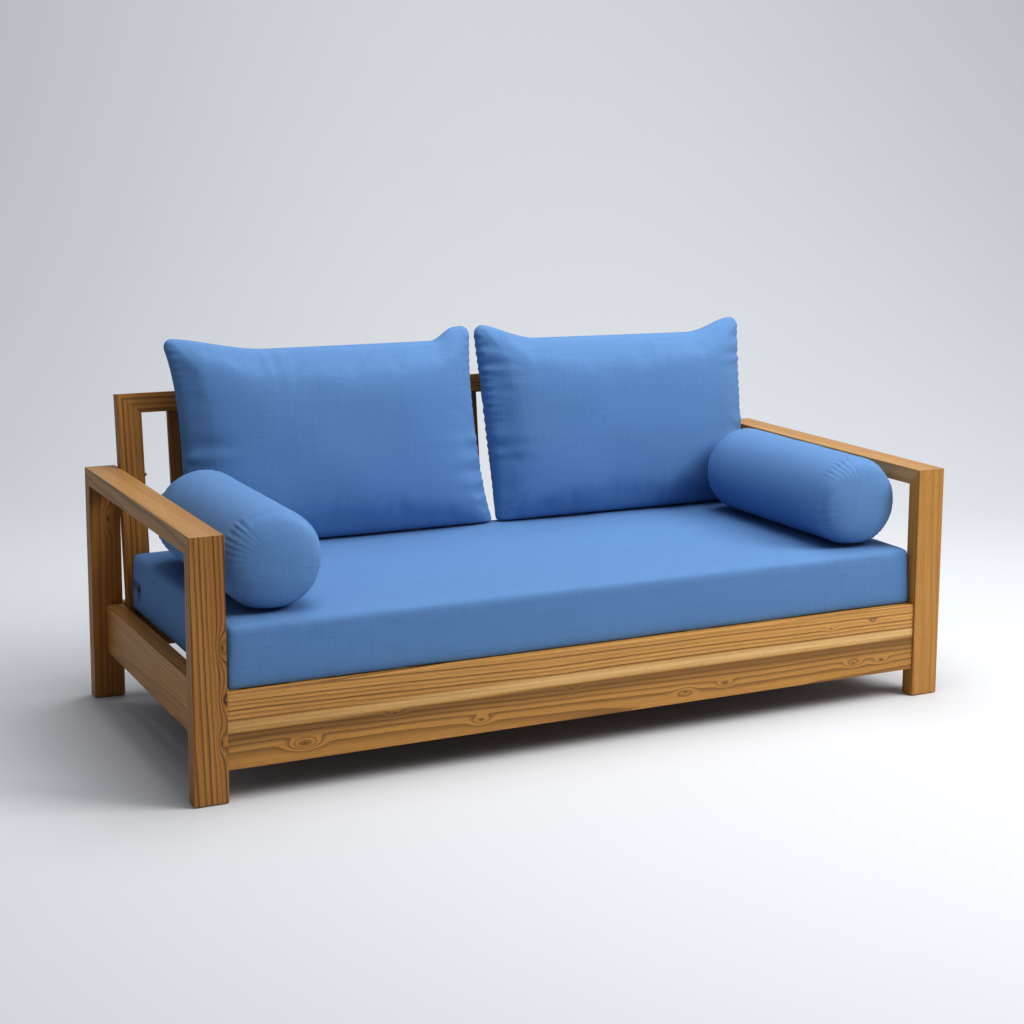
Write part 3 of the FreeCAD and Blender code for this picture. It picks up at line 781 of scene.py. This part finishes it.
def finishBackCushion(side):
    look = backCushion
    obj = soft["back_cushion_" + side]
    applyModifier(obj, "SUBSURF", levels=1, render_levels=1)
    points = readPoints(obj)
    inward, place, which = keptPoints(obj, "cut").T
    onSide = which > 1.5
    luck = softNoise(np.stack((place * 11, which * 3.0, place * 0), axis=1), 1.0, 4 if side == "left" else 9)
    wave = np.cos(2 * math.pi * place / look["puckerPitch"] + 6 * luck)
    strength = np.clip(0.45 + 1.6 * luck, 0.0, 1.3) * np.where(onSide, 1.0, 0.35)
    fade = np.exp(-inward / look["puckerReach"] * 2.4) * smoothStep(inward, 0.0, 0.007)
    seamDip = -look["seamDip"] * np.exp(-(inward / look["seamWidth"]) ** 2)
    luck = softNoise(np.stack((place * 6, which * 5.0, place * 0), axis=1), 1.0, 21 if side == "left" else 33)
    crease = np.cos(2 * math.pi * place / look["creasePitch"] + 8 * luck) * np.clip(luck * 2.2, 0, 1)
    crease = crease * np.exp(-inward / look["creaseReach"]) * smoothStep(inward, 0.0, 0.02) * look["creaseDepth"]
    lift = wave * fade * strength * look["puckerDepth"] + crease + seamDip
    points = points + readNormals(obj) * lift[:, None]
    front = backPlane(points[:, 2]) - look["backGap"]
    soften = look["backSoftness"]
    pressed = front - soften * np.logaddexp(0, (front - points[:, 1]) / soften)
    free = smoothStep(points[:, 2], backTop + 0.004, backTop + 0.05)
    points[:, 1] = np.minimum(points[:, 1], pressed) * (1 - free) + points[:, 1] * free
    points[:, 2] = pressOn(points[:, 2], mattressTop + look["seatGap"], look["seatSoftness"])
    # the end of the bolster leaves a dent
    aside = np.hypot((points[:, 0] - bolster["middle"][side]) / bolster["radius"][0],
                     (points[:, 2] - mattressTop - bolster["radius"][1]) / bolster["radius"][1])
    dome = (1 - np.clip(aside, 0, 1) ** bolster["domeFullness"]) ** (1 / bolster["domeFullness"])
    stop = bolster["ends"][1] + look["dentGap"] - bolster["domeDepth"] * (1 - dome)
    inFront = (points[:, 1] < stop) & (aside < 1)
    points[inFront, 1] = stop[inFront]
    writePoints(obj, points)


def finishBolster(side):
    look = bolster
    obj = soft["bolster_" + side]
    applyModifier(obj, "SUBSURF", levels=1, render_levels=1)
    points = readPoints(obj)
    fromSeam, angle, end = keptPoints(obj, "cut").T
    ring = np.stack((np.sin(angle), np.cos(angle), end), axis=1)
    luck = softNoise(ring, 2.4, 6 if side == "left" else 14)
    wave = np.cos(look["puckers"] * angle + 7 * luck)
    strength = np.clip(0.35 + 2.0 * luck, 0.0, 1.4)
    fade = np.exp(-fromSeam / look["puckerReach"]) * smoothStep(fromSeam, 0.0, 0.003)
    groove = -look["seamDip"] * np.exp(-(fromSeam / look["seamWidth"]) ** 2)
    points = points + readNormals(obj) * (wave * fade * strength * look["puckerDepth"] + groove)[:, None]
    points[:, 2] = pressOn(points[:, 2], mattressTop + look["seatGap"], look["seatSoftness"])
    writePoints(obj, points)


def finishMattress():
    look = mattress
    obj = soft["mattress"]
    applyModifier(obj, "SUBSURF", levels=1, render_levels=1)
    points = readPoints(obj)
    waver = softNoise(points, 5.0, 2) * look["waver"] + softNoise(points, 17.0, 7) * look["waver"] * 0.35
    box = np.array(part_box("mattress_cover"))
    box[1][0] += look["rightSwell"]
    points = refit(points + readNormals(obj) * waver[:, None], box)
    low, high = box[0][2], box[1][2]
    sunk = look["sag"] + look["footSag"] * (1 - smoothStep(points[:, 2], low, low + look["footReach"]))
    points[:, 2] = pressOn(points[:, 2] - sunk, low + look["deckGap"], look["deckSoftness"])
    points[:, 2] = points[:, 2] - look["sag"] * smoothStep(points[:, 2], high - 0.002, high)
    writePoints(obj, points)


finishMattress()
for side in sides:
    finishBackCushion(side)
    finishBolster(side)
insides = {"mattress": "mattress_foam"}
for name, obj in soft.items():
    obj.data.materials.clear()
    obj.data.materials.append(blueCloth)
    makeActive(obj)
    bpy.ops.object.shade_smooth()
    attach(obj, name)
    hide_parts(name + "_cover", insides.get(name, name + "_filling"))
print("soft pieces done")


studio = {
    "eye": (-2.10974, -4.3532, 1.47436), "yaw": 26.942, "pitch": -8.896, "roll": 0.4255,
    "lens": 67.27, "shift": (-0.0406, -0.0871),
    "floor": (0.675, 0.685, 0.705), "world": (0.84, 0.90, 1.0), "worldStrength": 0.24,
    "floorWidth": 60.0, "floorLength": 30.0, "floorFront": 14.0, "sweepStart": 2.4, "sweepBend": 3.0,
    "lamps": {                          # place, target, size, power and colour
        "key": ((3.0, -2.6, 3.8), (0.2, 0, 0.3), (2.4, 2.4), 165.0, (1.0, 0.985, 0.96)),
        "overhead": ((0.3, -0.2, 4.2), (0, 0, 0), (3.6, 2.6), 110.0, (1.0, 1.0, 1.0)),
        "wash": ((0.0, 2.2, 4.6), (1.1, 5.6, 1.2), (3.4, 1.5), 53.0, (0.97, 0.985, 1.0)),
    },
}


def addCamera():
    yaw, pitch, roll = (math.radians(studio[key]) for key in ("yaw", "pitch", "roll"))
    ahead = Vector((math.sin(yaw) * math.cos(pitch), math.cos(yaw) * math.cos(pitch), math.sin(pitch)))
    right = Vector((math.cos(yaw), -math.sin(yaw), 0))
    up = right.cross(ahead)
    turned = right * math.cos(roll) + up * math.sin(roll)
    upright = up * math.cos(roll) - right * math.sin(roll)
    bpy.ops.object.camera_add(location=studio["eye"])
    camera = bpy.context.object
    camera.rotation_euler = Matrix((turned, upright, -ahead)).transposed().to_euler()
    camera.data.sensor_width = 36
    camera.data.lens = studio["lens"]
    camera.data.shift_x, camera.data.shift_y = studio["shift"]
    bpy.context.scene.camera = camera


def addLamp(name, place, target, size, power, colour):
    bpy.ops.object.light_add(type="AREA", location=place)
    lamp = bpy.context.object
    lamp.name = name
    lamp.data.shape = "RECTANGLE"
    lamp.data.size, lamp.data.size_y = size
    lamp.data.energy = power
    lamp.data.color = colour
    lamp.rotation_euler = (Vector(target) - Vector(place)).to_track_quat("-Z", "Y").to_euler()


def addFloor():
    floor = addGrid("studio_floor", (4, 120), (studio["floorWidth"], 1.0))
    points = readPoints(floor)
    run = (points[:, 1] + 0.5) * studio["floorLength"] - studio["floorFront"]   # along the sweep, front to back
    start, bend = studio["sweepStart"], studio["sweepBend"]
    arc = np.clip((run - start) / bend, 0, math.pi / 2)
    rise = np.maximum(run - start - bend * math.pi / 2, 0)
    points[:, 1] = np.where(run < start, run, start + bend * np.sin(arc))
    points[:, 2] = bend * (1 - np.cos(arc)) + rise
    turn = np.array(Matrix.Rotation(-math.radians(studio["yaw"]), 3, "Z"))
    writePoints(floor, points @ turn.T)
    makeActive(floor)
    bpy.ops.object.shade_smooth()
    material, surface, place = newMaterial("studio_paper")
    mottle = place.noise(1.3, 2.0, 0.5)
    colour = mottle.tint(studio["floor"], darker(studio["floor"], 0.985))
    setSurface(surface, {"Base Color": colour}, {"Roughness": 0.85, "Specular IOR Level": 0.2})
    floor.data.materials.append(material)


pickNone()
addCamera()
addFloor()
for name, lamp in studio["lamps"].items():
    addLamp(name, *lamp)
scene = bpy.context.scene
scene.world = scene.world or bpy.data.worlds.new("studio")
scene.world.use_nodes = True
background = scene.world.node_tree.nodes["Background"]
background.inputs["Color"].default_value = (*studio["world"], 1)
background.inputs["Strength"].default_value = studio["worldStrength"]
scene.view_settings.view_transform = "Standard"
scene.view_settings.look = "Medium High Contrast"
pickNone()
print("studio done")
